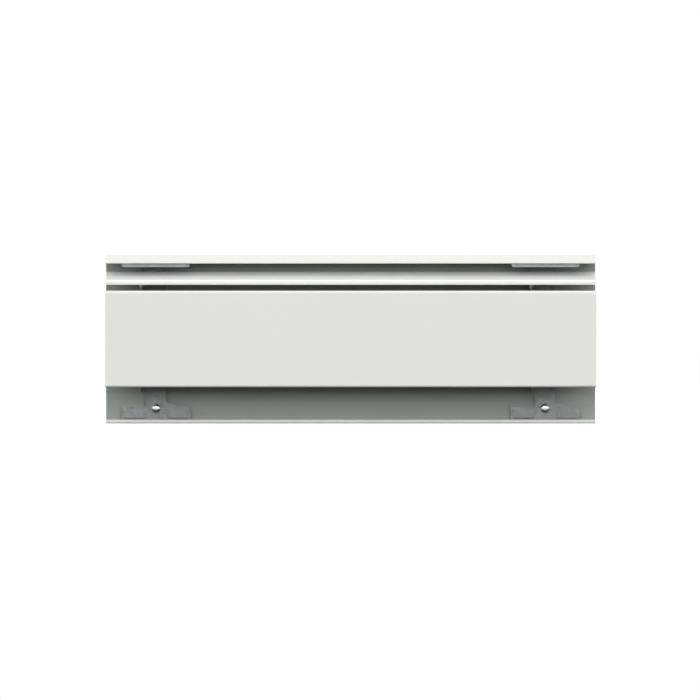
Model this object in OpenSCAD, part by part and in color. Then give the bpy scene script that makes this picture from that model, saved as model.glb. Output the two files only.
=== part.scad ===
// Baseboard heater section: folded steel enclosure with a finned copper element inside.
// +X runs along the heater, the front faces -Y, the wall is at +Y, and z = 0 is the bottom edge.

/* [Enclosure] */
// Length of the section
length = 610; // [600:1:640]
// Height from the bottom edge to the top of the hood
height = 209; // [209:1:212]
// Distance from the wall to the face of the front cover
depth = 70; // [70:1:74]
// Thickness of the painted sheet
sheet = 0.8; // [0.7:0.1:0.9]
// Distance from the wall to the outside of the hood's front bend
hood_reach = 46.2; // [46:0.1:47]
// Distance from the wall to the lip along the bottom flange
lip_reach = 20; // [19:0.5:24]
// Height of the lip along the bottom flange
lip_height = 4.6; // [4:0.1:6]
// Distance between the wall screw holes along the heater
wall_hole_gap = 406.4; // [300:0.1:420]
// Height of the lower wall screw holes
wall_hole_low = 60; // [56:1:66]
// Height of the upper wall screw holes
wall_hole_high = 160; // [150:1:165]
// Radius of the wall screw holes
wall_hole_r = 2.5; // [2:0.1:3]

/* [Front cover] */
// Height of the cover's bottom edge
cover_low = 45; // [44:0.5:45]
// Height of the cover's top edge
cover_high = 165.1; // [165:0.1:165.2]
// Depth of the cover's top return
cover_return = 14; // [13.6:0.1:14]

/* [Damper] */
// Height of the blade's back edge, standing open
damper_high = 188.5; // [188:0.1:188.6]
// Height of the blade's front bend, standing open
damper_bend = 177.6; // [177:0.1:178]
// Height of the pivot pins
pivot_high = 173.3; // [173:0.1:173.6]
// Radius of the pivot pins
pin_r = 2; // [1.8:0.1:2.2]

/* [Brackets] */
// Distance from the middle of the heater to each bracket's foot
bracket_x = 242.6; // [235:0.1:245]
// Thickness of the galvanised sheet
plate = 1.2; // [1:0.1:1.2]
// Gap between the back panel's wall side and the bracket's base
base_gap = 6; // [5:0.5:6]
// Width of the foot and of the top plate
foot_w = 86; // [80:1:90]
// Width of the stem
stem_w = 25; // [22:1:28]
// Height of the screw in the foot
screw_high = 18.5; // [18:0.5:19]

/* [Element] */
// Radius of the tube's plain end
tube_r = 11.11; // [11:0.01:11.2]
// Length of the tube
tube_l = 596; // [590:1:596]
// Height of the tube's axis
tube_high = 98; // [97:0.5:98]
// Distance from the wall to the tube's axis
tube_out = 38; // [37.5:0.1:38.5]
// Distance between two fins
fin_pitch = 6.35; // [5:0.05:12]
// Number of fins
fin_count = 80; // [20:1:80]
// Depth of a fin
fin_d = 50; // [48:0.5:50]
// Height of a fin
fin_h = 58; // [56:0.5:58]

/* [Hidden] */

// Places across the heater are given as [distance out from the wall, height].
wall_y = depth / 2;
end_x = length / 2;
half = sheet / 2;

// A closed hem folds the sheet back on itself: radius of its two bends, and the step across it
hem_r = sheet / 2 + 0.15;
hem = 2 * hem_r + 0.04;
hem_l = 5;
bend_step = 15;

// Damper
pivot = [51, pivot_high];
blade_back = [25, damper_high];
blade_bend = [61, damper_bend];
blade_run = (blade_bend - blade_back) / norm(blade_bend - blade_back);
blade_inset = 0.6;
blade_nose = 4.6;
pivot_drop = cross(blade_run, pivot - blade_back);

// Bracket, with places along x counted from the middle of its foot
base_out = base_gap;
web_x = -18.7;
nose_r = 2.5;
nose_at = [62.5, cover_high - sheet - 0.5 - nose_r];
top_plate_high = height - sheet - 1;
hood_flange_gap = 0.4;
hood_flange_low = 194.4;
top_plate_w = foot_w - 1.6;
plate_bend = 1.6;
shelf_high = 60;
shelf_l = 41;
shelf_back = 13.2;
shelf_front = 62.8;
bush_r = 3.2;
ear_r = 5.3;

// Stack of pieces on a pivot pin, along x from the web's left face
bush_collar = 0.9;
washer_t = 0.5;
clip_t = 0.8;
lug_gap = 0.4;
lug_t = 1;
lug_x = web_x + plate + bush_collar + lug_gap;
pin_end_x = web_x - bush_collar - washer_t - clip_t - 1.2;

// Element
tube_wall = 0.9;
expanded_r = tube_r + 0.14;
plain_l = 40;
socket_l = 19;
socket_r = tube_r + 0.09;
cone_l = 5;
fin_t = 0.3;
collar_t = 0.4;
collar_l = 2;
cradle_l = 24;
cradle_x = -10;

// ---------------------------------------------------------------- sheet metal

function unit(v) = v / norm(v);
function left_of(v) = [-v[1], v[0]];
function turned(v, a) = [v[0] * cos(a) - v[1] * sin(a), v[0] * sin(a) + v[1] * cos(a)];
function place(p) = [p[0], p[1]];

// Points of the bend at b, at a distance to the left of the centre line
function bend(a, b, c, r, off) =
    let (
        u = unit(b - a),
        v = unit(c - b),
        turn = atan2(cross(u, v), u * v),
        side = sign(turn),
        centre = b - u * r * tan(abs(turn) / 2) + left_of(u) * side * r,
        steps = max(1, ceil(abs(turn) / bend_step))
    )
    [for (i = [0:steps]) centre + turned(left_of(u), turn * i / steps) * (off - side * r)];

// One face of the sheet, at a distance to the left of the centre line
function face(path, off) =
    let (
        n = len(path) - 1,
        first = unit(place(path[1]) - place(path[0])),
        last = unit(place(path[n]) - place(path[n - 1]))
    )
    concat(
        [place(path[0]) + left_of(first) * off],
        [for (i = [1:n - 1])
            for (p = bend(place(path[i - 1]), place(path[i]), place(path[i + 1]), path[i][2], off)) p],
        [place(path[n]) + left_of(last) * off]
    );

function sheet_outline(path, t) =
    let (right = face(path, -t / 2))
    concat(face(path, t / 2), [for (i = [len(right) - 1:-1:0]) right[i]]);

// Draws a flat shape, given as [out, height], and gives it a length along x
module along_x(from, to) {
    translate([from, wall_y, 0])
        rotate([90, 0, 90])
            linear_extrude(to - from)
                mirror([1, 0])
                    children();
}

// Sheet bent along a path of [out, height, bend radius]
module folded(path, t, from, to) {
    along_x(from, to)
        polygon(sheet_outline(path, t));
}

// A round bar along x through a place across the heater
module bar(at, r, from, to) {
    translate([from, wall_y - at[0], at[1]])
        rotate([0, 90, 0])
            cylinder(r = r, h = to - from, $fn = 64);
}

// A round bar that points out of the wall, at a place along the heater
module stud(x, high, r, from, to, tip_r = -1) {
    translate([x, wall_y - from, high])
        rotate([90, 0, 0])
            cylinder(r1 = r, r2 = tip_r < 0 ? r : tip_r, h = to - from, $fn = 64);
}

module at_bracket(side) {
    translate([side * bracket_x, 0, 0])
        children();
}

// ---------------------------------------------------------------- enclosure

// Hood, back and bottom flange are one roll-formed sheet.
nose_top = [hood_reach, height - half];
nose_end = [hood_reach + 3.4, height - 9.55];
nose_run = unit(nose_end - nose_top);
nose_in = [nose_run[1], -nose_run[0]];
panel_path = [
    concat(nose_end + nose_in * hem - nose_run * hem_l, 0),
    concat(nose_end + nose_in * hem, hem_r),
    concat(nose_end, hem_r),
    concat(nose_top, 3.5),
    [half, height - half, 2.4],
    [half, half, 1.6],
    [lip_reach, half, 1.2],
    [lip_reach, lip_height - half, hem_r],
    [lip_reach - hem, lip_height - half, hem_r],
    [lip_reach - hem, lip_height - half - 2.2, 0]
];

boss_r = 10;
boss_tip_r = 7.5;
boss_screw_r = 1.7;

module back_panel() {
    color("gainsboro")
        difference() {
            union() {
                folded(panel_path, sheet, -end_x, end_x);
                for (side = [-1, 1])
                    stud(side * bracket_x, screw_high, boss_r, half, base_out, boss_tip_r);
            }
            for (side = [-1, 1]) {
                stud(side * bracket_x, screw_high, boss_r, -sheet, base_out - sheet, boss_tip_r);
                stud(side * bracket_x, screw_high, boss_screw_r, 0, base_out + 1);
                for (high = [wall_hole_low, wall_hole_high])
                    stud(side * wall_hole_gap / 2, high, wall_hole_r, -1, sheet + 1);
            }
        }
}

// ---------------------------------------------------------------- brackets

// Foot, stem and the fold of the web, drawn flat as [x, z]
arm = foot_w / 2;
stem = stem_w / 2;
foot_outline = [
    [-arm, 1.6], [-arm, 18.6], [-arm + 0.6, 20], [-arm + 2, 20.6],
    [-stem, 20.6], [-stem, 33], [web_x, 39.2], [web_x, top_plate_high - plate_bend],
    [stem, top_plate_high - plate_bend], [stem, 29.4], [stem + 1, 27], [stem + 3.2, 25.5],
    [arm - 4, 20.2], [arm - 1.2, 18.8], [arm, 16.4], [arm, 1.6]
];

// Upright web, drawn as [out, z]: an arm under the element, a deep mouth for it,
// and an upper arm with the ear of the damper and the finger that the cover hangs on
web_outline = [
    [base_out, 41], [base_out + 8, 47.5], [66, 47.5], [66, 55], [61, shelf_high],
    [14, shelf_high], [10.5, shelf_high + 4], [10.5, 129], [14.5, 133], [59, 133], [66, 140],
    [66, 146], [nose_at[0] + nose_r, 150], [nose_at[0] + nose_r, nose_at[1]],
    [nose_at[0] - nose_r, nose_at[1]], [nose_at[0] - nose_r, 154], [59, 153], [55, 153],
    [54, 154], [54, 166], [pivot[0] + 4.6, pivot[1] - 2.6], [pivot[0] - 3.4, pivot[1] + 4],
    [40, 172], [28, 167], [19, 171], [15, 180], [15, 195], [20, top_plate_high],
    [base_out + plate_bend, top_plate_high], [base_out, top_plate_high - plate_bend]
];

// The top plate ends in a flange that lies behind the hood's nose and shows below it.
flange_line = nose_top + nose_in * (hem + half + hood_flange_gap + plate / 2);
function on_flange(high) = flange_line + nose_run * (high - flange_line[1]) / nose_run[1];

top_plate_path = [
    [base_out + plate / 2, 198, 0],
    [base_out + plate / 2, top_plate_high, plate_bend],
    concat(on_flange(top_plate_high), plate_bend),
    concat(on_flange(hood_flange_low), 0)
];

// Lower corners of the hood flange are clipped.
module flange_clips() {
    for (side = [-1, 1])
        translate([side * top_plate_w / 2, wall_y - on_flange(hood_flange_low)[0], hood_flange_low])
            rotate([0, 45, 0])
                cube([4, 8, 4], center = true);
}

module bracket_base() {
    translate([0, wall_y - base_out, 0])
        rotate([90, 0, 0])
            linear_extrude(plate)
                polygon(foot_outline);
}

module bracket_web() {
    along_x(web_x, web_x + plate)
        union() {
            polygon(web_outline);
            translate(nose_at)
                circle(r = nose_r, $fn = 48);
            translate(pivot)
                circle(r = ear_r, $fn = 64);
        }
}

module bracket(side) {
    color("darkgray")
        at_bracket(side)
            difference() {
                union() {
                    bracket_base();
                    bracket_web();
                    folded(top_plate_path, plate, -top_plate_w / 2, top_plate_w / 2);
                    translate([web_x, wall_y - shelf_front, shelf_high])
                        cube([shelf_l, shelf_front - shelf_back, plate]);
                }
                bar(pivot, bush_r, web_x - 1, web_x + plate + 1);
                stud(0, screw_high, 2.3, base_out - 1, base_out + plate + 1);
                flange_clips();
            }
}

module left_bracket() { bracket(-1); }
module right_bracket() { bracket(1); }

// Truss head screw with a cross recess
screw_head_r = 5.6;
screw_head_h = 2.6;
screw_r = 1.7;
screw_tip = 1.4;
dome_r = (screw_head_r * screw_head_r + screw_head_h * screw_head_h) / (2 * screw_head_h);

module bracket_screw(side) {
    color("silver")
        translate([side * bracket_x, wall_y - base_out - plate, screw_high])
            rotate([90, 0, 0])
                difference() {
                    union() {
                        intersection() {
                            translate([0, 0, screw_head_h - dome_r])
                                sphere(r = dome_r, $fn = 96);
                            cylinder(r = screw_head_r, h = screw_head_h, $fn = 64);
                        }
                        translate([0, 0, screw_tip - base_out - plate])
                            cylinder(r = screw_r, h = base_out + plate - screw_tip, $fn = 48);
                    }
                    for (a = [0, 90])
                        rotate([0, 0, a])
                            translate([-2.6, -0.5, screw_head_h - 1.7])
                                cube([5.2, 1, 3]);
                }
}

module left_bracket_screw() { bracket_screw(-1); }
module right_bracket_screw() { bracket_screw(1); }

// Nylon bush: a sleeve through the web with a collar on each face
bush_bore = pin_r + 0.05;
bush_flange_r = 4.8;
bush_lip_r = 4;

module damper_bush(side) {
    color("ivory")
        at_bracket(side)
            difference() {
                union() {
                    bar(pivot, bush_r, web_x - bush_collar, web_x + plate + bush_collar);
                    bar(pivot, bush_flange_r, web_x - bush_collar, web_x);
                    bar(pivot, bush_lip_r, web_x + plate, web_x + plate + bush_collar);
                }
                bar(pivot, bush_bore, web_x - 2, web_x + 4);
            }
}

module left_damper_bush() { damper_bush(-1); }
module right_damper_bush() { damper_bush(1); }

// ---------------------------------------------------------------- damper

// The blade has a hemmed back edge and a rounded front bend that turns down into a short nose.
blade_up = left_of(blade_run);
blade_path = [
    concat(blade_back - blade_up * hem + blade_run * hem_l, 0),
    concat(blade_back - blade_up * hem, hem_r),
    concat(blade_back, hem_r),
    concat(blade_bend, 3),
    [blade_bend[0] - 1, blade_bend[1] - blade_nose - half, 0]
];

module damper_blade() {
    color("whitesmoke")
        folded(blade_path, sheet, -end_x + blade_inset, end_x - blade_inset);
}

// Places in the blade's own directions, from the pivot: u along the blade, v up to it
function from_pivot(u, v) = pivot + blade_run * u + blade_up * v;
blade_under = -pivot_drop - half;

lug_outline = [
    for (p = [[-8, blade_under], [-8, blade_under - 1.6], [-3.6, -2], [-2, -3.6], [2, -3.6],
              [3.6, -2], [4.8, blade_under - 1.6], [4.8, blade_under]])
        from_pivot(p[0], p[1])
];
lug_foot_outline = [
    for (p = [[-8, blade_under], [-8, blade_under - lug_t], [4.8, blade_under - lug_t], [4.8, blade_under]])
        from_pivot(p[0], p[1])
];
lug_foot_l = 16;

module damper_lug(side) {
    color("darkgray")
        at_bracket(side)
            difference() {
                union() {
                    along_x(lug_x, lug_x + lug_t)
                        polygon(lug_outline);
                    along_x(lug_x, lug_x + lug_foot_l)
                        polygon(lug_foot_outline);
                }
                bar(pivot, pin_r, lug_x - 1, lug_x + lug_t + 1);
            }
}

module left_damper_lug() { damper_lug(-1); }
module right_damper_lug() { damper_lug(1); }

// The pin is riveted into the lug and runs in the bush.
rivet_r = 3;
rivet_h = 0.8;

module pivot_pin(side) {
    color("silver")
        at_bracket(side) {
            bar(pivot, pin_r, pin_end_x, lug_x + lug_t);
            bar(pivot, rivet_r, lug_x + lug_t, lug_x + lug_t + rivet_h);
        }
}

module left_pivot_pin() { pivot_pin(-1); }
module right_pivot_pin() { pivot_pin(1); }

washer_r = 4.4;
washer_x = web_x - bush_collar - 0.05 - washer_t;

module friction_washer(side) {
    color("silver")
        at_bracket(side)
            difference() {
                bar(pivot, washer_r, washer_x, washer_x + washer_t);
                bar(pivot, pin_r, washer_x - 1, washer_x + washer_t + 1);
            }
}

module left_friction_washer() { friction_washer(-1); }
module right_friction_washer() { friction_washer(1); }

clip_r = 3.8;
clip_x = washer_x - clip_t;

module pin_clip(side) {
    color("dimgray")
        at_bracket(side)
            difference() {
                bar(pivot, clip_r, clip_x, clip_x + clip_t);
                bar(pivot, pin_r, clip_x - 1, clip_x + clip_t + 1);
            }
}

module left_pin_clip() { pin_clip(-1); }
module right_pin_clip() { pin_clip(1); }

// ---------------------------------------------------------------- front cover

// The top return hooks over the finger of each bracket, and the bottom return is hemmed.
cover_out = depth - half;
cover_top = cover_high - half;
cover_bottom = cover_low + half;
cover_lip = 12;
cover_path = [
    [cover_out - cover_return + half, cover_top - 7.2, 0],
    [cover_out - cover_return + half, cover_top, 1.2],
    [cover_out, cover_top, 3.2],
    [cover_out, cover_bottom, 2.4],
    [cover_out - cover_lip, cover_bottom, hem_r],
    [cover_out - cover_lip, cover_bottom + hem, hem_r],
    [cover_out - cover_lip + 4, cover_bottom + hem, 0]
];

module front_cover() {
    color("whitesmoke")
        folded(cover_path, sheet, -end_x, end_x);
}

// ---------------------------------------------------------------- element

// Half section of the tube as [radius, place along its length]: the middle is expanded
// into the fins, the left end is plain and the right end is swaged to a socket.
tube_outline = [
    [tube_r - tube_wall, 0], [tube_r, 0], [tube_r, plain_l], [expanded_r, plain_l + 2],
    [expanded_r, tube_l - socket_l - cone_l], [socket_r + tube_wall, tube_l - socket_l],
    [socket_r + tube_wall, tube_l], [socket_r, tube_l], [socket_r, tube_l - socket_l],
    [expanded_r - tube_wall, tube_l - socket_l - cone_l], [expanded_r - tube_wall, plain_l + 2],
    [tube_r - tube_wall, plain_l]
];

module copper_tube() {
    color("peru")
        translate([-tube_l / 2, wall_y - tube_out, tube_high])
            rotate([0, 90, 0])
                rotate_extrude($fn = 96)
                    polygon(tube_outline);
}

// A fin is a thin plate with clipped corners and a drawn collar that grips the tube.
fin_clip = 3;
fin_outline = [
    for (s = [[1, 1], [-1, 1], [-1, -1], [1, -1]])
        for (cut = s[0] * s[1] > 0 ? [[0, 1], [1, 0]] : [[1, 0], [0, 1]])
            [s[0] * (fin_d / 2 - cut[0] * fin_clip), s[1] * (fin_h / 2 - cut[1] * fin_clip)]
];
fin_start = -(fin_count - 1) * fin_pitch / 2;

module fin(x) {
    difference() {
        union() {
            along_x(x, x + fin_t)
                translate([tube_out, tube_high])
                    polygon(fin_outline);
            bar([tube_out, tube_high], expanded_r + collar_t, x, x + collar_l);
        }
        bar([tube_out, tube_high], expanded_r, x - 1, x + collar_l + 1);
    }
}

module fins() {
    color("lightgray")
        for (i = [0:fin_count - 1])
            fin(fin_start + i * fin_pitch);
}

// The cradle sits on the bracket's shelf, grips the shelf's edges and carries the fins on ribs.
cradle_floor = shelf_high + plate + 0.1;
cradle_half = fin_d / 2 + 2;
fin_low = tube_high - fin_h / 2;
cradle_outline = [
    [-cradle_half, 58.6], [-cradle_half + 1.6, 58.6], [-cradle_half + 1.6, cradle_floor],
    [cradle_half - 1.6, cradle_floor], [cradle_half - 1.6, 58.6], [cradle_half, 58.6],
    [cradle_half, fin_low + 9], [cradle_half - 0.6, fin_low + 10], [cradle_half - 1.8, fin_low + 7],
    [cradle_half - 1.8, cradle_floor + 2.2], [-cradle_half + 1.8, cradle_floor + 2.2],
    [-cradle_half + 1.8, fin_low + 7], [-cradle_half + 0.6, fin_low + 10], [-cradle_half, fin_low + 9]
];
cradle_ribs = [-21, -7, 7, 21];

module cradle(side) {
    color("tan")
        at_bracket(side)
            along_x(cradle_x, cradle_x + cradle_l)
                translate([tube_out, 0])
                    union() {
                        polygon(cradle_outline);
                        for (rib = cradle_ribs)
                            translate([rib - 0.9, cradle_floor + 1])
                                square([1.8, fin_low - cradle_floor - 1]);
                    }
}

module left_cradle() { cradle(-1); }
module right_cradle() { cradle(1); }

// ---------------------------------------------------------------- parts

back_panel();
left_bracket();
right_bracket();
left_bracket_screw();
right_bracket_screw();
left_damper_bush();
right_damper_bush();
damper_blade();
left_damper_lug();
right_damper_lug();
left_pivot_pin();
right_pivot_pin();
left_pin_clip();
right_pin_clip();
left_friction_washer();
right_friction_washer();
front_cover();
copper_tube();
fins();
left_cradle();
right_cradle();
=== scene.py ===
import math

import bmesh
import bpy
from mathutils import Matrix, Vector


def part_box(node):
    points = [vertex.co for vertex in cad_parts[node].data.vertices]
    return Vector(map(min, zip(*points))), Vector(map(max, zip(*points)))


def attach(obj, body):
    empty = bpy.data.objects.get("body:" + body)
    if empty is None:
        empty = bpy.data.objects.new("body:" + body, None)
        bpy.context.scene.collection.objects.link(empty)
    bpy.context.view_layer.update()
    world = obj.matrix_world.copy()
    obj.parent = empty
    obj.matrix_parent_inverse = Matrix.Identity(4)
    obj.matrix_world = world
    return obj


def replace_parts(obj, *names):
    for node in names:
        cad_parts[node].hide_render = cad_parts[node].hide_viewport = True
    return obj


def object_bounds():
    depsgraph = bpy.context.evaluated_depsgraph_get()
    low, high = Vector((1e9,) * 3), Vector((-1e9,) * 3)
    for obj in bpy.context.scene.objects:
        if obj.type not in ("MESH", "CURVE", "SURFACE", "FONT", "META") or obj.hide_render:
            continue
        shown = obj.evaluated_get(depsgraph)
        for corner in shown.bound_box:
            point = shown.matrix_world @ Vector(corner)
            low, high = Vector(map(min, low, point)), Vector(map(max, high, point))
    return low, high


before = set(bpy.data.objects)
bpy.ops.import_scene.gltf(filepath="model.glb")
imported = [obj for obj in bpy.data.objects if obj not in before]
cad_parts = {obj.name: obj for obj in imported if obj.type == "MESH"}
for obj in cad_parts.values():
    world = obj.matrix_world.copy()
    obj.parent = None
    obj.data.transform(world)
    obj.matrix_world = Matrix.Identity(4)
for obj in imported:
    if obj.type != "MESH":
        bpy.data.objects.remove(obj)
cad_low, cad_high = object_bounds()

# ---------------------------------------------------------------------------- view and light
# The section hangs in a white studio. A long lens stands square to it, a little below its middle
# height, so that the long edges are drawn parallel and both air slots are seen straight in.

VIEW_DISTANCE = 18.0
VIEW_WIDTH = 0.8697
VIEW_CENTRE = (-0.0008, 0.0914)
SENSOR = 36.0
WALL_GLOW = 3.8
CEILING_GLOW = 1.38
BACK_GLOW = 0.25
FLOOR_GLOW = 0.06
SIDE_GLOW = 0.3
BACKDROP_LOW = -0.05
BACKDROP_HIGH = 0.06
CARD_GLOW = 0.28

lens = bpy.data.cameras.new("long_lens")
lens.sensor_width = SENSOR
lens.lens = SENSOR * VIEW_DISTANCE / VIEW_WIDTH
lens.clip_end = 60
camera = bpy.data.objects.new("long_lens", lens)
camera.location = (VIEW_CENTRE[0], cad_low.y - VIEW_DISTANCE, VIEW_CENTRE[1])
camera.rotation_euler = (math.radians(90), 0, 0)
bpy.context.scene.collection.objects.link(camera)
bpy.context.scene.camera = camera
bpy.context.scene.view_settings.view_transform = "Standard"


def linear(colour):
    """An sRGB hex colour as linear red, green, blue and alpha."""
    parts = [int(colour[i:i + 2], 16) / 255 for i in (1, 3, 5)]
    return [p / 12.92 if p <= 0.04045 else ((p + 0.055) / 1.055) ** 2.4 for p in parts] + [1.0]


def add_node(tree, kind, inputs=None, **settings):
    """Adds a node with its settings. An input is a number, a colour, or a socket to link from."""
    made = tree.nodes.new(kind)
    for name, value in settings.items():
        setattr(made, name, value)
    for name, value in (inputs or {}).items():
        if isinstance(value, bpy.types.NodeSocket):
            tree.links.new(value, made.inputs[name])
        else:
            made.inputs[name].default_value = value
    return made


def soft_box(name, place, aim, width, height, power):
    """A rectangular studio light at a place, turned to an aim."""
    light = bpy.data.lights.new(name, "AREA")
    light.shape = "RECTANGLE"
    light.size, light.size_y = width, height
    light.energy = power
    lamp = bpy.data.objects.new(name, light)
    lamp.location = place
    lamp.rotation_euler = (Vector(aim) - Vector(place)).to_track_quat("-Z", "Y").to_euler()
    bpy.context.scene.collection.objects.link(lamp)


# The studio has bright walls and a dimmer ceiling, with a black flag at each side and another over
# the back, and a dark floor beyond the card. The backdrop that shows is a dimmer strip along the
# horizon, so that little light is thrown straight into the two air slots.
world = bpy.data.worlds.new("white_studio")
world.use_nodes = True
sky = world.node_tree
sky.nodes.clear()
direction = add_node(sky, "ShaderNodeTexCoord")
axes = add_node(sky, "ShaderNodeSeparateXYZ", {0: direction.outputs["Generated"]})
ceiling = add_node(sky, "ShaderNodeMapRange", {
    "Value": axes.outputs["Z"],
    "From Min": 0.05, "From Max": 0.5, "To Min": WALL_GLOW, "To Max": CEILING_GLOW,
})
behind = add_node(sky, "ShaderNodeMapRange", {
    "Value": axes.outputs["Y"],
    "From Min": 0.0, "From Max": 0.3, "To Min": 1.0, "To Max": BACK_GLOW,
})
overhead = add_node(sky, "ShaderNodeMapRange", {
    "Value": axes.outputs["Z"], "From Min": 0.2, "From Max": 0.5,
})
back_flag = add_node(sky, "ShaderNodeMix", {
    "Factor": overhead.outputs["Result"], "A": 1.0, "B": behind.outputs["Result"],
})
sideways = add_node(sky, "ShaderNodeMath", {0: axes.outputs["X"]}, operation="ABSOLUTE")
side_flags = add_node(sky, "ShaderNodeMapRange", {
    "Value": sideways.outputs[0],
    "From Min": 0.35, "From Max": 0.8, "To Min": 1.0, "To Max": SIDE_GLOW,
})
flags = add_node(sky, "ShaderNodeMath", {
    0: side_flags.outputs["Result"], 1: back_flag.outputs["Result"],
}, operation="MULTIPLY")
flagged = add_node(sky, "ShaderNodeMath", {
    0: ceiling.outputs["Result"], 1: flags.outputs[0],
}, operation="MULTIPLY")
above = add_node(sky, "ShaderNodeMapRange", {
    "Value": axes.outputs["Z"], "From Min": BACKDROP_HIGH - 0.01, "From Max": BACKDROP_HIGH + 0.01,
})
room = add_node(sky, "ShaderNodeMath", {
    0: flagged.outputs[0], 1: above.outputs["Result"],
}, operation="MULTIPLY")
low = add_node(sky, "ShaderNodeMath", {0: axes.outputs["Z"], 1: BACKDROP_HIGH}, operation="LESS_THAN")
high = add_node(sky, "ShaderNodeMath", {0: axes.outputs["Z"], 1: BACKDROP_LOW}, operation="GREATER_THAN")
backdrop = add_node(sky, "ShaderNodeMath", {0: low.outputs[0], 1: high.outputs[0]}, operation="MULTIPLY")
shown = add_node(sky, "ShaderNodeMath", {0: room.outputs[0], 1: backdrop.outputs[0]}, operation="MAXIMUM")
whole = add_node(sky, "ShaderNodeMath", {0: shown.outputs[0], 1: FLOOR_GLOW}, operation="MAXIMUM")
glow = add_node(sky, "ShaderNodeBackground", {"Color": (1, 1, 1, 1), "Strength": whole.outputs[0]})
add_node(sky, "ShaderNodeOutputWorld", {"Surface": glow.outputs[0]})
bpy.context.scene.world = world

soft_box("key_softbox", (0.9, -2.4, 1.9), (0, 0, 0.1), 1.8, 1.2, 5)
soft_box("front_softbox", (-0.3, -3.2, 0.7), (0, 0, 0.1), 2.4, 0.9, 5)

# The floor is a wide sheet of white card with a faint glow of its own. It shows and takes shadows,
# but its bounce is left to the dark half of the studio, which lights the underside more evenly.
card = bmesh.new()
bmesh.ops.create_grid(card, x_segments=1, y_segments=1, size=14)
floor_mesh = bpy.data.meshes.new("floor_card")
card.to_mesh(floor_mesh)
card.free()
floor = bpy.data.objects.new("floor_card", floor_mesh)
bpy.context.scene.collection.objects.link(floor)
floor.visible_diffuse = False
floor.visible_glossy = False
white_card = bpy.data.materials.new("white_card")
white_card.use_nodes = True
board = white_card.node_tree.nodes["Principled BSDF"]
board.inputs["Base Color"].default_value = linear("#F4F4F2")
board.inputs["Roughness"].default_value = 0.9
board.inputs["Emission Color"].default_value = (1, 1, 1, 1)
board.inputs["Emission Strength"].default_value = CARD_GLOW
floor_mesh.materials.append(white_card)

# ---------------------------------------------------------------------------- back panel
# Hood, back and bottom flange are one strip of 0.8 mm steel, enamelled off-white before it is
# roll formed, with closed hems along the hood's nose and the floor lip. Two round bosses are
# pressed out of the back for the bracket screws, and four holes are punched for the wall screws.

MM = 0.001
SHEET = 0.8
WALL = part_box("back_panel")[1].y
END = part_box("back_panel")[1].x
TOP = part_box("back_panel")[1].z / MM
HEM = 1.14
HEM_FOLD = 0.55
SMOOTH_STEP = math.radians(11)


def across(out, high, x=0.0):
    """A place: x along the heater in metres, and out from the wall and up in millimetres."""
    return Vector((x, WALL - out * MM, high * MM))


def fold(bm, start, end, radius):
    """Rounds the sharp fold between two places to a bend radius in millimetres."""
    def miss(edge):
        a, b = edge.verts[0].co, edge.verts[1].co
        return min((a - start).length + (b - end).length, (b - start).length + (a - end).length)
    edge = min((e for e in bm.edges if len(e.link_faces) == 2), key=miss)
    turn = edge.calc_face_angle()
    bmesh.ops.bevel(bm, geom=[edge], offset=radius * MM * math.tan(turn / 2), offset_type="OFFSET",
                    affect="EDGES", segments=max(3, round(turn / SMOOTH_STEP)), profile=0.5,
                    material=-1, clamp_overlap=False)


def rolled(line, radii, left, right):
    """Sweeps the middle line of a strip along the heater and rounds its folds, as the rolls do."""
    bm = bmesh.new()
    points = [bm.verts.new(across(*p, left)) for p in line]
    edges = [bm.edges.new(pair) for pair in zip(points, points[1:])]
    swept = bmesh.ops.extrude_edge_only(bm, edges=edges)["geom"]
    moved = [v for v in swept if isinstance(v, bmesh.types.BMVert)]
    bmesh.ops.translate(bm, verts=moved, vec=(right - left, 0, 0))
    for place, radius in zip(line[1:-1], radii):
        fold(bm, across(*place, left), across(*place, right), radius)
    return bm


def turn_outward(bm, place, towards):
    """Points every face one way, so that the one nearest a place faces towards."""
    bmesh.ops.recalc_face_normals(bm, faces=bm.faces)
    nearest = min(bm.faces, key=lambda f: (f.calc_center_median() - place).length)
    if nearest.normal.dot(towards) < 0:
        bmesh.ops.reverse_faces(bm, faces=bm.faces)


def finish_mesh(bm, name, materials):
    """Makes a mesh object of a bmesh, with its materials and smooth faces."""
    mesh = bpy.data.meshes.new(name)
    bm.to_mesh(mesh)
    bm.free()
    mesh.shade_smooth()
    for material in materials:
        mesh.materials.append(material)
    made = bpy.data.objects.new(name, mesh)
    bpy.context.scene.collection.objects.link(made)
    return made


def give_thickness(piece, thickness, inner=0):
    """Gives a middle surface its gauge. The inner face takes the material that many slots on."""
    gauge = piece.modifiers.new("gauge", "SOLIDIFY")
    gauge.thickness = thickness * MM
    gauge.offset = 0
    gauge.use_even_offset = True
    gauge.material_offset = inner


def even_shading(piece):
    """Keeps the flats flat beside their rounded edges."""
    even = piece.modifiers.new("even_shading", "WEIGHTED_NORMAL")
    even.keep_sharp = False
    even.weight = 80


def ease_edges(piece, width, sharp=40):
    """Takes the sharpness off sheared or moulded edges."""
    ease = piece.modifiers.new("eased_edges", "BEVEL")
    ease.width = width * MM
    ease.segments = 2
    ease.limit_method = "ANGLE"
    ease.angle_limit = math.radians(sharp)
    ease.use_clamp_overlap = True
    even_shading(piece)


def settle(piece):
    """Turns the piece's live modifiers into its mesh."""
    scene_now = bpy.context.evaluated_depsgraph_get()
    made = bpy.data.meshes.new_from_object(piece.evaluated_get(scene_now))
    old = piece.data
    piece.modifiers.clear()
    piece.data = made
    bpy.data.meshes.remove(old)


def start_finish(name):
    """A new material with its tree, its main shader and the place of each point on the piece."""
    material = bpy.data.materials.new(name)
    material.use_nodes = True
    tree = material.node_tree
    place = add_node(tree, "ShaderNodeTexCoord").outputs["Object"]
    return material, tree, tree.nodes["Principled BSDF"], place


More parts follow.
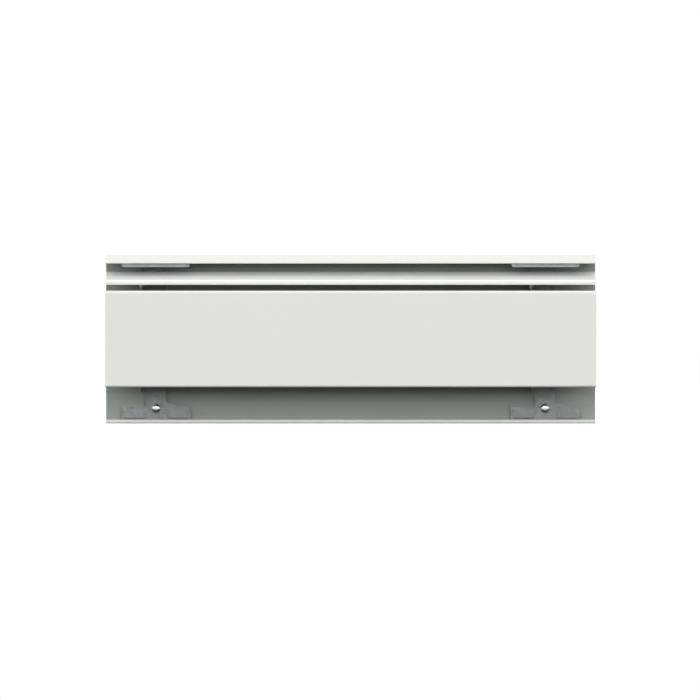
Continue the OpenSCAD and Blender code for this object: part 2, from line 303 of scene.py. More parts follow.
# Polyester coil enamel: baked, satin, off-white, with the faint orange peel that it cures with.
# The peel is really about 1 mm across and is drawn at 2.5 mm, so that it can show at all. The
# tint and the gloss drift very slightly, over about a hand's breadth.
PEEL = 2.5
DRIFT = 111.0


def coil_enamel(name, dark, light):
    """Satin enamel, clouded very faintly between two close off-whites."""
    material, tree, paint, place = start_finish(name)
    peel = add_node(tree, "ShaderNodeTexNoise", {"Vector": place, "Scale": 1 / (PEEL * MM), "Detail": 2.0})
    cloud = add_node(tree, "ShaderNodeTexNoise", {"Vector": place, "Scale": 1 / (DRIFT * MM), "Detail": 3.0})
    tint = add_node(tree, "ShaderNodeMix", {
        "Factor": cloud.outputs["Fac"], "A": linear(dark), "B": linear(light),
    }, data_type="RGBA")
    gloss = add_node(tree, "ShaderNodeMapRange", {
        "Value": cloud.outputs["Fac"], "To Min": 0.30, "To Max": 0.38,
    })
    skin = add_node(tree, "ShaderNodeBump", {
        "Height": peel.outputs["Fac"], "Strength": 0.12, "Distance": 0.06 * MM,
    })
    tree.links.new(tint.outputs["Result"], paint.inputs["Base Color"])
    tree.links.new(gloss.outputs["Result"], paint.inputs["Roughness"])
    tree.links.new(skin.outputs["Normal"], paint.inputs["Normal"])
    paint.inputs["IOR"].default_value = 1.5
    return material


enamel = coil_enamel("polyester_coil_enamel", "#E6E7E1", "#E9E9E5")

# Wash coat: the thin grey-green backer on the strip's other side, matt, with roller streaks
# along the strip. The streaks are drawn about 3 mm apart.
STREAK = 3.03
wash, tree, paint, place = start_finish("grey_green_wash_coat")
along = add_node(tree, "ShaderNodeMapping", {
    "Vector": place, "Scale": (3.0, 1 / (STREAK * MM), 1 / (STREAK * MM)),
})
streak = add_node(tree, "ShaderNodeTexNoise", {
    "Vector": along.outputs["Vector"], "Scale": 1.0, "Detail": 3.0,
})
tint = add_node(tree, "ShaderNodeMix", {
    "Factor": streak.outputs["Fac"], "A": linear("#9AA19B"), "B": linear("#A3AAA4"),
}, data_type="RGBA")
tree.links.new(tint.outputs["Result"], paint.inputs["Base Color"])
paint.inputs["Roughness"].default_value = 0.55
paint.inputs["IOR"].default_value = 1.45

# The strip's middle line, as out and up, from the hem in the hood's nose to the hem in the floor lip
HALF_SHEET = SHEET / 2
HEM_DEEP = 5.0
NOSE_TOP = Vector((46.2, TOP - HALF_SHEET))
NOSE_END = Vector((49.6, TOP - 9.55))
LIP_OUT = 20.0
LIP_HIGH = 4.2
nose_run = (NOSE_END - NOSE_TOP).normalized()
nose_in = Vector((nose_run.y, -nose_run.x))
panel_line = [
    NOSE_END + nose_in * HEM - nose_run * HEM_DEEP, NOSE_END + nose_in * HEM, NOSE_END, NOSE_TOP,
    (HALF_SHEET, TOP - HALF_SHEET), (HALF_SHEET, HALF_SHEET), (LIP_OUT, HALF_SHEET),
    (LIP_OUT, LIP_HIGH), (LIP_OUT - HEM, LIP_HIGH), (LIP_OUT - HEM, 2.0),
]
panel_folds = [HEM_FOLD, HEM_FOLD, 3.5, 2.4, 1.6, 1.2, HEM_FOLD, HEM_FOLD]
BRACKET_X = (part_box("right_bracket_screw")[0].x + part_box("right_bracket_screw")[1].x) / 2
SCREW_HIGH = 18.5
WALL_HOLES = [(x, high) for x in (-0.2032, 0.2032) for high in (60, 160)]
WALL_HOLE = 2.5
# Rings of the boss, as radius and rise over the back's middle surface
BOSS_FOOT = 10.6
BOSS = [(10.0, 0.05), (9.6, 0.3), (8.1, 4.7), (7.7, 5.1), (7.2, 5.2), (1.75, 5.2)]

panel = rolled(panel_line, panel_folds, -END, END)
back = max(panel.faces, key=lambda f: f.calc_area() * abs(f.normal.y))
rim = list(back.edges)
bmesh.ops.delete(panel, geom=[back], context="FACES_ONLY")


def ring_edges(bm, x, high, out, radius, segments):
    """A ring of edges in a plane parallel to the wall."""
    upright = Matrix.Translation(across(out, high, x)) @ Matrix.Rotation(math.pi / 2, 4, "X")
    made = bmesh.ops.create_circle(bm, cap_ends=False, radius=radius * MM, segments=segments,
                                   matrix=upright)
    return list({e for v in made["verts"] for e in v.link_edges})


def press(bm, ring, centre, wide, tall, steps):
    """Presses metal out inside a ring of edges, in steps of half width, half height and rise."""
    risen = 0.0
    for new_wide, new_tall, rise in steps:
        grown = bmesh.ops.extrude_edge_only(bm, edges=ring)["geom"]
        verts = [v for v in grown if isinstance(v, bmesh.types.BMVert)]
        edges = [e for e in grown if isinstance(e, bmesh.types.BMEdge)]
        bmesh.ops.scale(bm, verts=verts, vec=(new_wide / wide, 1, new_tall / tall),
                        space=Matrix.Translation(-centre))
        bmesh.ops.translate(bm, verts=verts, vec=(0, (risen - rise) * MM, 0))
        ring = [e for e in edges if all(v in verts for v in e.verts)]
        wide, tall, risen = new_wide, new_tall, rise
    return ring


for x, high in WALL_HOLES:
    rim += ring_edges(panel, x, high, HALF_SHEET, WALL_HOLE, 24)
bosses = [(x, ring_edges(panel, x, SCREW_HIGH, HALF_SHEET, BOSS_FOOT, 40)) for x in (-BRACKET_X, BRACKET_X)]
bmesh.ops.triangle_fill(panel, use_beauty=True, edges=rim + bosses[0][1] + bosses[1][1])
for x, ring in bosses:
    press(panel, ring, across(HALF_SHEET, SCREW_HIGH, x), BOSS_FOOT, BOSS_FOOT,
          [(radius, radius, rise) for radius, rise in BOSS])
turn_outward(panel, across(HALF_SHEET, 110, 0), Vector((0, 1, 0)))
back_panel = finish_mesh(panel, "enamelled_back_panel", [enamel, wash])
give_thickness(back_panel, SHEET, inner=1)
ease_edges(back_panel, 0.12)
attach(back_panel, "enclosure")
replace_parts(back_panel, "back_panel")

# ---------------------------------------------------------------------------- brackets
# Each bracket is one stamping of 1.2 mm galvanised sheet: an I-shaped base whose foot and head
# are wide, a web folded forward from its left edge, a shelf folded from the web for the element,
# and a top plate folded over under the hood, with a flange that shows below the nose.

PLATE = 1.2
BASE_OUT = 6.6
WEB_X = -18.1
TOP_PLATE = TOP - 1.8
HEAD_LOW = 198.0
WEB_TOP = 196.0
TOP_HALF = 42.2
FLANGE_LOW = 194.4
SHELF = 60.6
SHELF_END = 22.3
SHELF_BACK = 14.0
SHELF_FRONT = 61.0
PIVOT = (51.0, 173.3)
PIVOT_HOLE = 3.25
SCREW_HOLE = 2.3
FINGER = (62.5, 161.3)
flange_start = NOSE_TOP + nose_in * (HEM + SHEET + PLATE / 2)


def on_flange(high):
    """Where the hood flange is at a height, as out and up."""
    return flange_start + nose_run * ((high - flange_start.y) / nose_run.y)


def arc(centre, radius, start, end, steps):
    """Places round a centre, from one angle in degrees to another."""
    turns = [math.radians(start + (end - start) * step / steps) for step in range(steps + 1)]
    return [(centre[0] + radius * math.cos(a), centre[1] + radius * math.sin(a)) for a in turns]


# Hot dip galvanised steel: zinc frozen in crystals with ragged sides, each with its own grey and
# its own gloss. They are 6 mm across, as on ordinary bracket stock. The zinc has gone dull, so it
# shines less than clean metal.
SPANGLE = 6.0
RAGGED = 4.17
zinc, tree, metal, place = start_finish("hot_dip_galvanised_steel")
wander = add_node(tree, "ShaderNodeTexNoise", {"Vector": place, "Scale": 1 / (RAGGED * MM), "Detail": 2.0})
bent = add_node(tree, "ShaderNodeMix", {
    "Factor": 0.012, "A": place, "B": wander.outputs["Color"],
}, data_type="VECTOR")
crystal = add_node(tree, "ShaderNodeTexVoronoi", {
    "Vector": bent.outputs["Result"], "Scale": 1 / (SPANGLE * MM),
})
grey = add_node(tree, "ShaderNodeSeparateColor", {"Color": crystal.outputs["Color"]})
tint = add_node(tree, "ShaderNodeMix", {
    "Factor": grey.outputs["Red"], "A": linear("#838887"), "B": linear("#929796"),
}, data_type="RGBA")
gloss = add_node(tree, "ShaderNodeMapRange", {
    "Value": grey.outputs["Green"], "To Min": 0.42, "To Max": 0.58,
})
tree.links.new(tint.outputs["Result"], metal.inputs["Base Color"])
tree.links.new(gloss.outputs["Result"], metal.inputs["Roughness"])
metal.inputs["Metallic"].default_value = 0.4

BEND = 1.5
FOLD_X = WEB_X + BEND
FOLD_OUT = BASE_OUT + BEND
FOLD_LOW = 39.0
# Base, flat, as x from the foot's middle and height
BASE = [
    (-43.0, 1.6), (43.0, 1.6), (43.0, 16.2), (42.0, 18.4), (39.4, 19.9), (16.6, 25.2), (13.8, 26.6),
    (12.5, 29.4), (12.5, HEAD_LOW), (TOP_HALF, HEAD_LOW), (TOP_HALF, TOP_PLATE - BEND),
    (-TOP_HALF, TOP_PLATE - BEND), (-TOP_HALF, HEAD_LOW), (-20.5, HEAD_LOW), (-19.5, 199.5),
    (-15.6, 199.5), (FOLD_X, WEB_TOP), (FOLD_X, FOLD_LOW), (-12.5, 33.0), (-12.5, 20.6),
    (-41.2, 20.6), (-42.6, 20.0), (-43.0, 18.6),
]
# Pads pressed in the foot's arms, as x and height of the middle, half width and half height
PADS = [(-27.0, 11.6, 14.0, 6.6), (27.0, 11.0, 14.0, 6.2)]
PAD_CORNER = 3.0
# The pad's edge, as how far in from its outline and how far it has risen
PAD_EDGE = [(0.5, 0.05), (1.9, 0.45), (2.4, 0.5)]
# Web, flat, as out and height: from the fold out along its lower arm, back along the shelf, up to
# the cover's finger, round the ear that holds the pivot, and back to the fold at the head
WEB = [
    (FOLD_OUT, FOLD_LOW), (14.6, 47.5), (64.6, 47.5), (66, 49), (66, 55), (SHELF_FRONT, SHELF - BEND),
    (SHELF_BACK, SHELF - BEND), (10.5, 64.5), (10.5, 129), (14.5, 133), (59, 133), (66, 140), (66, 146),
    (65, 150), *arc(FINGER, 2.5, 0, 180, 4), (60, 154), (59, 153), (55, 153), (54, 154), (54, 167.2),
    *arc(PIVOT, 5.3, -39, 130, 6), (40, 172), (28, 167), (19, 171), (15, 180), (15, 195), (19, 205.6),
    (9.4, 205.6), (FOLD_OUT, 200), (FOLD_OUT, WEB_TOP),
]


def flat(bm, places):
    """A flat face through places."""
    return bm.faces.new([bm.verts.new(place) for place in places])


def loop(bm, places):
    """A closed loop of edges through places."""
    corners = [bm.verts.new(place) for place in places]
    return [bm.edges.new(pair) for pair in zip(corners, corners[1:] + corners[:1])]


def bend(bm, first, last, start, end, radius=BEND):
    """Bends metal on from a straight edge: it leaves the edge along start and turns to end."""
    axis = start.cross(end).normalized()
    angle = start.angle(end)
    line = [bm.verts.new(first), bm.verts.new(last)]
    edge = bm.edges.new(line)
    bmesh.ops.spin(bm, geom=line + [edge], cent=first + axis.cross(start) * radius * MM, axis=axis,
                   angle=angle, steps=max(3, round(angle / SMOOTH_STEP)), use_duplicate=False)


def drill(piece, cutters):
    """Cuts the piece with solid cutters, which are then thrown away."""
    for cutter in cutters:
        cut = piece.modifiers.new("punched", "BOOLEAN")
        cut.object = cutter
        cut.operation = "DIFFERENCE"
        cut.solver = "MANIFOLD"
    settle(piece)
    for cutter in cutters:
        bpy.data.objects.remove(cutter)


def round_cutter(place, axis, radius, length):
    """A round punch, centred on a place."""
    bm = bmesh.new()
    turn = Vector((0, 0, 1)).rotation_difference(Vector(axis)).to_matrix().to_4x4()
    bmesh.ops.create_cone(bm, cap_ends=True, radius1=radius * MM, radius2=radius * MM, depth=length * MM,
                          segments=32, matrix=Matrix.Translation(place) @ turn)
    return finish_mesh(bm, "punch", [])


def stamp_bracket(name, foot_x):
    """One bracket, with its foot's middle at foot_x."""
    bm = bmesh.new()
    out, up, along = Vector((0, -1, 0)), Vector((0, 0, 1)), Vector((1, 0, 0))
    down_nose = Vector((0, -nose_run.x, nose_run.y))

    def base(x, high):
        return across(BASE_OUT, high, foot_x + x * MM)

    def hood(place, x):
        return across(*place, foot_x + x * MM)

    def web(place):
        return hood(place, WEB_X)

    # The base, with its outline and pads filled between, then each pad pressed out and closed
    outline = loop(bm, [base(*p) for p in BASE])
    pads = []
    for x, high, wide, tall in PADS:
        corners = []
        for quarter, (i, j) in enumerate(((1, 1), (-1, 1), (-1, -1), (1, -1))):
            centre = (x + i * (wide - PAD_CORNER), high + j * (tall - PAD_CORNER))
            corners += arc(centre, PAD_CORNER, 90 * quarter, 90 * quarter + 90, 5)
        pads.append(loop(bm, [base(*p) for p in corners]))
    bmesh.ops.triangle_fill(bm, use_beauty=True, edges=outline + pads[0] + pads[1])
    for (x, high, wide, tall), ring in zip(PADS, pads):
        steps = [(wide - inset, tall - inset, rise) for inset, rise in PAD_EDGE]
        ring = press(bm, ring, base(x, high), wide, tall, steps)
        bmesh.ops.triangle_fill(bm, use_beauty=True, edges=ring)

    # The web, folded forward from the base, and the shelf, folded from the web
    bend(bm, base(FOLD_X, FOLD_LOW), base(FOLD_X, WEB_TOP), -along, out)
    flat(bm, [web(p) for p in WEB])
    shelf_fold = ((SHELF_FRONT, SHELF - BEND), (SHELF_BACK, SHELF - BEND))
    bend(bm, web(shelf_fold[0]), web(shelf_fold[1]), up, along)
    front, rear = (SHELF_FRONT, SHELF), (SHELF_BACK, SHELF)
    flat(bm, [hood(front, FOLD_X), hood(front, SHELF_END), hood(rear, SHELF_END), hood(rear, FOLD_X)])

    # The top plate, folded forward from the head, and its flange, folded down along the hood's nose
    turn = on_flange(TOP_PLATE)
    setback = BEND * math.tan(nose_run.angle(Vector((1, 0))) / 2)
    before, after, low = turn - Vector((setback, 0)), turn + nose_run * setback, on_flange(FLANGE_LOW)
    bend(bm, base(-TOP_HALF, TOP_PLATE - BEND), base(TOP_HALF, TOP_PLATE - BEND), up, out)
    flat(bm, [hood((FOLD_OUT, TOP_PLATE), -TOP_HALF), hood(before, -TOP_HALF),
              hood(before, TOP_HALF), hood((FOLD_OUT, TOP_PLATE), TOP_HALF)])
    bend(bm, hood(before, -TOP_HALF), hood(before, TOP_HALF), out, down_nose)
    flange = flat(bm, [hood(after, -TOP_HALF), hood(low, -TOP_HALF),
                       hood(low, TOP_HALF), hood(after, TOP_HALF)])
    bmesh.ops.bevel(bm, geom=flange.verts[1:3], offset=2.4 * MM, offset_type="OFFSET", affect="VERTICES",
                    segments=5, profile=0.5, material=-1)

    bmesh.ops.remove_doubles(bm, verts=bm.verts, dist=0.002 * MM)
    turn_outward(bm, base(0, 100), out)
    made = finish_mesh(bm, name, [zinc])
    give_thickness(made, PLATE)
    drill(made, [
        round_cutter(web(PIVOT), (1, 0, 0), PIVOT_HOLE, 8),
        round_cutter(base(0, SCREW_HIGH), (0, 1, 0), SCREW_HOLE, 8),
    ])
    ease_edges(made, 0.16)
    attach(made, "enclosure")
    return made


for side, word in ((-1, "left"), (1, "right")):
    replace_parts(stamp_bracket(f"{word}_stamped_bracket", side * BRACKET_X), f"{word}_bracket")

# ---------------------------------------------------------------------------- bracket screws
# A zinc plated steel screw with a low truss head and a cross recess holds each foot to its boss.
# The head is cold formed, and the thread is rolled into the boss as the screw goes in.

# Bright zinc plate: a thin electroplated skin, smoother and whiter than dipped zinc, with faint
# smears. They are finer in life and are drawn 1.4 mm across.
SMEAR = 1.43
plated, tree, metal, place = start_finish("bright_zinc_plate")
smear = add_node(tree, "ShaderNodeTexNoise", {"Vector": place, "Scale": 1 / (SMEAR * MM), "Detail": 3.0})
tint = add_node(tree, "ShaderNodeMix", {
    "Factor": smear.outputs["Fac"], "A": linear("#C6CACD"), "B": linear("#DADCDD"),
}, data_type="RGBA")
gloss = add_node(tree, "ShaderNodeMapRange", {
    "Value": smear.outputs["Fac"], "To Min": 0.18, "To Max": 0.30,
})
tree.links.new(tint.outputs["Result"], metal.inputs["Base Color"])
tree.links.new(gloss.outputs["Result"], metal.inputs["Roughness"])
metal.inputs["Metallic"].default_value = 1.0

# Half outline of the screw as radius and height over the foot, from its tip to its crown
THREAD_PITCH = 0.55
thread = [(r, -5.7 + THREAD_PITCH * i + rise) for i in range(9) for r, rise in ((1.35, 0.0), (1.68, 0.28))]
rim_to_crown = [math.radians(turn) for turn in range(0, 90, 11)]
dome = [(5.6 * math.cos(turn), 0.55 + 2.05 * math.sin(turn)) for turn in rim_to_crown]
SCREW = [
    (0.0, -5.8), (1.2, -5.75), *thread, (1.6, -0.6), (1.6, 0.0), (5.3, 0.0), (5.6, 0.3), *dome, (0.0, 2.6),
]


def turned_piece(outline, place, axis, name, materials, segments=40):
    """A piece of revolution: the outline, as radius and height in millimetres, spun about an axis."""
    bm = bmesh.new()
    line = [bm.verts.new((r * MM, 0, h * MM)) for r, h in outline]
    edges = [bm.edges.new(pair) for pair in zip(line, line[1:])]
    bmesh.ops.spin(bm, geom=line + edges, cent=(0, 0, 0), axis=(0, 0, 1), angle=2 * math.pi,
                   steps=segments, use_merge=True, use_duplicate=False)
    bmesh.ops.remove_doubles(bm, verts=bm.verts, dist=1e-6)
    bmesh.ops.recalc_face_normals(bm, faces=bm.faces)
    turn = Vector((0, 0, 1)).rotation_difference(Vector(axis)).to_matrix().to_4x4()
    bmesh.ops.transform(bm, matrix=Matrix.Translation(place) @ turn, verts=bm.verts)
    return finish_mesh(bm, name, materials)


def recess_blade(place, quarter):
    """One blade of the punch for the cross recess: it tapers as it goes in."""
    bm = bmesh.new()
    forward = Matrix.Translation(place) @ Matrix.Rotation(math.pi / 2, 4, "X")
    bmesh.ops.create_cube(bm, size=1)
    bmesh.ops.scale(bm, verts=bm.verts, vec=(7.0 * MM, 1.5 * MM, 3 * MM))
    bmesh.ops.scale(bm, verts=[v for v in bm.verts if v.co.z < 0], vec=(0.3, 0.62, 1))
    bmesh.ops.translate(bm, verts=bm.verts, vec=(0, 0, 2.2 * MM))
    bmesh.ops.rotate(bm, verts=bm.verts, matrix=Matrix.Rotation(math.radians(20 + 90 * quarter), 3, "Z"))
    bmesh.ops.transform(bm, matrix=forward, verts=bm.verts)
    return finish_mesh(bm, "recess_punch", [])


for side, word in ((-1, "left"), (1, "right")):
    seat = across(BASE_OUT + PLATE / 2, SCREW_HIGH, side * BRACKET_X)
    screw = turned_piece(SCREW, seat, (0, -1, 0), f"{word}_truss_head_screw", [plated])
    drill(screw, [recess_blade(seat, 0), recess_blade(seat, 1)])
    ease_edges(screw, 0.08, sharp=35)
    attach(screw, "enclosure")
    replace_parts(screw, f"{word}_bracket_screw")

# ---------------------------------------------------------------------------- damper bushes
# A nylon bush snaps into the ear of each web and carries the damper's pin. It is moulded in one
# piece, with a wide collar on the left and a small snap lip on the right.

# Natural nylon: cream white, waxy and a little translucent, with a mottle drawn at 1.1 mm.
MOTTLE = 1.11
nylon, tree, plastic, place = start_finish("natural_moulded_nylon")
mottle = add_node(tree, "ShaderNodeTexNoise", {"Vector": place, "Scale": 1 / (MOTTLE * MM), "Detail": 2.0})
tint = add_node(tree, "ShaderNodeMix", {
    "Factor": mottle.outputs["Fac"], "A": linear("#DCD7C6"), "B": linear("#E8E4D6"),
}, data_type="RGBA")
tree.links.new(tint.outputs["Result"], plastic.inputs["Base Color"])
plastic.inputs["Roughness"].default_value = 0.42
plastic.inputs["Subsurface Weight"].default_value = 0.15
plastic.inputs["Subsurface Radius"].default_value = (0.002, 0.0016, 0.001)

# Wall of the bush as radius and place along the pin, from the web's middle
BUSH = [(2.05, -1.5), (4.5, -1.5), (4.8, -1.2), (4.8, -0.75), (4.6, -0.6), (3.2, -0.6), (3.2, 0.6),
        (3.9, 0.75), (4.0, 0.95), (3.4, 1.5), (2.05, 1.5), (2.05, -1.5)]

for side, word in ((-1, "left"), (1, "right")):
    seat = across(*PIVOT, side * BRACKET_X + WEB_X * MM)
    bush = turned_piece(BUSH, seat, (1, 0, 0), f"{word}_nylon_bush", [nylon])
    ease_edges(bush, 0.08)
    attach(bush, "enclosure")
    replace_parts(bush, f"{word}_damper_bush")

# ---------------------------------------------------------------------------- damper blade
# The blade is a strip of enamelled steel of the panel's gauge, hemmed along its back edge and
# rolled over in front to a short nose. It tilts on two pins to close the outlet under the hood.

BLADE_BACK = Vector((25.0, 188.5))
BLADE_BEND = Vector((61.0, 177.6))
blade_run = (BLADE_BEND - BLADE_BACK).normalized()
blade_up = Vector((-blade_run.y, blade_run.x))
BLADE_NOSE = BLADE_BEND + Vector((-1, -5))
blade_line = [
    BLADE_BACK - blade_up * HEM + blade_run * HEM_DEEP, BLADE_BACK - blade_up * HEM, BLADE_BACK,
    BLADE_BEND, BLADE_NOSE,
]
blade_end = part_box("damper_blade")[1].x
blade_mesh = rolled(blade_line, [HEM_FOLD, HEM_FOLD, 3.0], -blade_end, blade_end)
turn_outward(blade_mesh, across(*((BLADE_BACK + BLADE_BEND) / 2), 0), Vector((0, 0, 1)))
# The blade's enamel is drawn a shade whiter than the hood's and the cover's. This is painted light: it
# stands in for the extra light the up-facing blade takes from above. Only its faint clouding is the enamel's
# own.
blade_enamel_with_painted_light = coil_enamel("polyester_blade_enamel_painted_lighter", "#F2F3EE", "#F5F6F1")
blade = finish_mesh(blade_mesh, "enamelled_damper_blade", [blade_enamel_with_painted_light, wash])
give_thickness(blade, SHEET, inner=1)
ease_edges(blade, 0.12)
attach(blade, "damper")
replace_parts(blade, "damper_blade")

# ---------------------------------------------------------------------------- damper lugs
# A small galvanised lug is spot welded under the blade beside each bracket: a foot along the
# blade, and an ear folded down that the pivot pin is riveted into.

LUG = 1.0
LUG_X = -15.7
LUG_FOOT = 16.0
LUG_BEND = 1.2
LUG_TOP = 6.1
EAR_BACK = -8.0
EAR_FRONT = 4.8
PIN_HOLE = 2.0
# The ear, flat, as along the blade and up to it from the pivot
EAR = [
    (EAR_FRONT, LUG_TOP - LUG_BEND), (4.5, 3.4), (3.9, 0.6), *arc((0, 0), 4.1, -37, -143, 4),
    (-4.6, 1.0), (EAR_BACK, 4.4), (EAR_BACK, LUG_TOP - LUG_BEND),
]


def from_pivot(along, up, x):
    """A place given along the blade and up to it, from the pivot."""
    spot = Vector(PIVOT) + blade_run * along + blade_up * up
    return across(spot.x, spot.y, x)


for side, word in ((-1, "left"), (1, "right")):
    ear_x = side * BRACKET_X + LUG_X * MM
    near_x = ear_x + LUG_BEND * MM
    far_x = ear_x + (LUG_FOOT - LUG / 2) * MM
    rise = Vector((0, -blade_up.x, blade_up.y))
    bm = bmesh.new()
    flat(bm, [from_pivot(*p, ear_x) for p in EAR])
    bend(bm, from_pivot(*EAR[-1], ear_x), from_pivot(*EAR[0], ear_x), rise, Vector((1, 0, 0)), LUG_BEND)
    flat(bm, [from_pivot(EAR_BACK, LUG_TOP, near_x), from_pivot(EAR_FRONT, LUG_TOP, near_x),
              from_pivot(EAR_FRONT, LUG_TOP, far_x), from_pivot(EAR_BACK, LUG_TOP, far_x)])
    bmesh.ops.remove_doubles(bm, verts=bm.verts, dist=0.002 * MM)
    turn_outward(bm, from_pivot(-1, 0, ear_x), Vector((-1, 0, 0)))
    lug = finish_mesh(bm, f"{word}_welded_lug", [zinc])
    give_thickness(lug, LUG)
    drill(lug, [round_cutter(across(*PIVOT, ear_x), (1, 0, 0), PIN_HOLE, 6)])
    ease_edges(lug, 0.12)
    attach(lug, "damper")
    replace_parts(lug, f"{word}_damper_lug")

# ---------------------------------------------------------------------------- pivot pins
# Each pin is a plated steel rivet. Its head is closed on the lug, and its shank runs in the bush.
# A wavy spring washer and a toothed push-on clip on the far side give the damper its drag.

# How far the pin's tip, the washer and the clip are from the web's middle
PIN_AT = -4.0
WASHER_AT = -1.8
CLIP_AT = -2.45
# Half outline of the pin as radius and length from its tip
PIN = [
    (0.0, 0.0), (1.6, 0.0), (2.0, 0.45), (2.0, 6.9), (2.8, 6.9), (3.0, 7.1), (2.9, 7.4), (2.3, 7.65),
    (0.0, 7.7),
]

# Hardened spring steel, oiled: dark, with a blue cast. The oil lies in patches of about 2 mm.
OIL_PATCH = 2.0
spring, tree, metal, place = start_finish("oiled_spring_steel")
oil = add_node(tree, "ShaderNodeTexNoise", {"Vector": place, "Scale": 1 / (OIL_PATCH * MM), "Detail": 2.0})
tint = add_node(tree, "ShaderNodeMix", {
    "Factor": oil.outputs["Fac"], "A": linear("#4C5056"), "B": linear("#666A70"),
}, data_type="RGBA")
tree.links.new(tint.outputs["Result"], metal.inputs["Base Color"])
metal.inputs["Metallic"].default_value = 1.0
metal.inputs["Roughness"].default_value = 0.32


def ring_plate(place, inner, outer, lift, name):
    """A thin ring about the pin, with its hole and its lift as functions of the angle, in millimetres."""
    bm = bmesh.new()
    middle = (inner(0) + outer) / 2
    seed = [bm.verts.new((0, r * MM, 0)) for r in (inner(0), middle, outer)]
    edges = [bm.edges.new(pair) for pair in zip(seed, seed[1:])]
    bmesh.ops.spin(bm, geom=seed + edges, cent=(0, 0, 0), axis=(1, 0, 0), angle=2 * math.pi,
                   steps=36, use_merge=True, use_duplicate=False)
    bmesh.ops.remove_doubles(bm, verts=bm.verts, dist=1e-6)
    for vert in bm.verts:
        angle = math.atan2(vert.co.z, vert.co.y)
        reach = math.hypot(vert.co.y, vert.co.z)
        if reach < middle * MM * 0.99:
            vert.co *= inner(angle) * MM / reach
        vert.co.x = lift(angle, reach / MM) * MM
    bmesh.ops.recalc_face_normals(bm, faces=bm.faces)
    bmesh.ops.translate(bm, verts=bm.verts, vec=place)
    return finish_mesh(bm, name, [spring])


def washer_hole(angle):
    """The washer's hole is plain."""
    return 2.1


def washer_wave(angle, reach):
    """Three waves round the washer."""
    return 0.12 * math.sin(3 * angle)


def clip_teeth(angle):
    """Six teeth that bite the pin, with slots between them."""
    return 2.02 if math.cos(6 * angle) > -0.5 else 2.7


def clip_dish(angle, reach):
    """The teeth are dished, so that the clip can't slip back."""
    return -0.25 * max(0.0, (3.1 - reach) / 1.1)


for side, word in ((-1, "left"), (1, "right")):
    pin_at, washer_at, clip_at = (
        across(*PIVOT, side * BRACKET_X + (WEB_X + offset) * MM) for offset in (PIN_AT, WASHER_AT, CLIP_AT)
    )
    pin = turned_piece(PIN, pin_at, (1, 0, 0), f"{word}_riveted_pin", [plated], segments=32)
    washer = ring_plate(washer_at, washer_hole, 4.4, washer_wave, f"{word}_wave_washer")
    clip = ring_plate(clip_at, clip_teeth, 3.8, clip_dish, f"{word}_toothed_clip")
    give_thickness(washer, 0.24)
    give_thickness(clip, 0.4)
    for piece, node, slot in (
        (pin, "pivot_pin", "zinc_plated_steel"),
        (washer, "friction_washer", "spring_steel"),
        (clip, "pin_clip", "spring_steel"),
    ):
        ease_edges(piece, 0.06)
        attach(piece, "damper")
        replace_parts(piece, f"{word}_{node}")

# ---------------------------------------------------------------------------- front cover
# The cover is the large enamelled panel that snaps on in front. Its top return hooks over the
# brackets' fingers, and its bottom return is hemmed and rests under their lower arms.

COVER_OUT = 69.6
COVER_TOP = 164.7
COVER_LOW = 45.4
HOOK_OUT = 56.0
RETURN_OUT = 57.6
RETURN_HEM = 4.0
cover_line = [
    (HOOK_OUT, COVER_TOP - 7.2), (HOOK_OUT, COVER_TOP), (COVER_OUT, COVER_TOP), (COVER_OUT, COVER_LOW),
    (RETURN_OUT, COVER_LOW), (RETURN_OUT, COVER_LOW + HEM), (RETURN_OUT + RETURN_HEM, COVER_LOW + HEM),
]
cover_mesh = rolled(cover_line, [1.2, 3.2, 2.4, HEM_FOLD, HEM_FOLD], -END, END)
turn_outward(cover_mesh, across(COVER_OUT, 105, 0), Vector((0, -1, 0)))
cover = finish_mesh(cover_mesh, "enamelled_front_cover", [enamel, wash])
give_thickness(cover, SHEET, inner=1)
ease_edges(cover, 0.12)
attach(cover, "cover")
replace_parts(cover, "front_cover")

# ---------------------------------------------------------------------------- copper tube
# Three-quarter inch copper water tube, drawn, then expanded from inside to grip the fins. The
# left end is plain and cut square, and the right end is swaged to a socket for soldering.

TUBE_OUT = 38.0
TUBE_HIGH = 98.0
TUBE_LENGTH = 596.0
# Wall of the tube as radius and length from the left end: out along it, round the socket and back
TUBE = [
    (10.21, 0.25), (10.4, 0.0), (10.95, 0.0), (11.11, 0.2), (11.11, 40), (11.25, 42), (11.25, 572),
    (11.35, 573), (12.0, 576), (12.1, 577), (12.1, TUBE_LENGTH - 0.2), (11.95, TUBE_LENGTH),
    (11.35, TUBE_LENGTH), (11.2, TUBE_LENGTH - 0.2), (11.2, 577), (11.1, 576.2), (10.45, 572.8),
    (10.35, 572), (10.35, 42), (10.21, 40), (10.21, 0.25),
]

# Drawn copper: a salmon metal that has started to go brown in clouds of about 33 mm, with fine
# draw lines along it. The lines are hair fine in life and are drawn 1.1 mm apart.
DRAW_LINE = 1.11
TARNISH = 33.3
copper, tree, metal, place = start_finish("drawn_copper")
drawn = add_node(tree, "ShaderNodeMapping", {
    "Vector": place, "Scale": (14.0, 1 / (DRAW_LINE * MM), 1 / (DRAW_LINE * MM)),
})
lines = add_node(tree, "ShaderNodeTexNoise", {
    "Vector": drawn.outputs["Vector"], "Scale": 1.0, "Detail": 3.0,
})
tarnish = add_node(tree, "ShaderNodeTexNoise", {"Vector": place, "Scale": 1 / (TARNISH * MM), "Detail": 5.0})
tint = add_node(tree, "ShaderNodeMix", {
    "Factor": tarnish.outputs["Fac"], "A": linear("#E0A587"), "B": linear("#BE7A5A"),
}, data_type="RGBA")
gloss = add_node(tree, "ShaderNodeMapRange", {
    "Value": lines.outputs["Fac"], "To Min": 0.22, "To Max": 0.42,
})
grooves = add_node(tree, "ShaderNodeBump", {
    "Height": lines.outputs["Fac"], "Strength": 0.15, "Distance": 0.05 * MM,
})
tree.links.new(tint.outputs["Result"], metal.inputs["Base Color"])
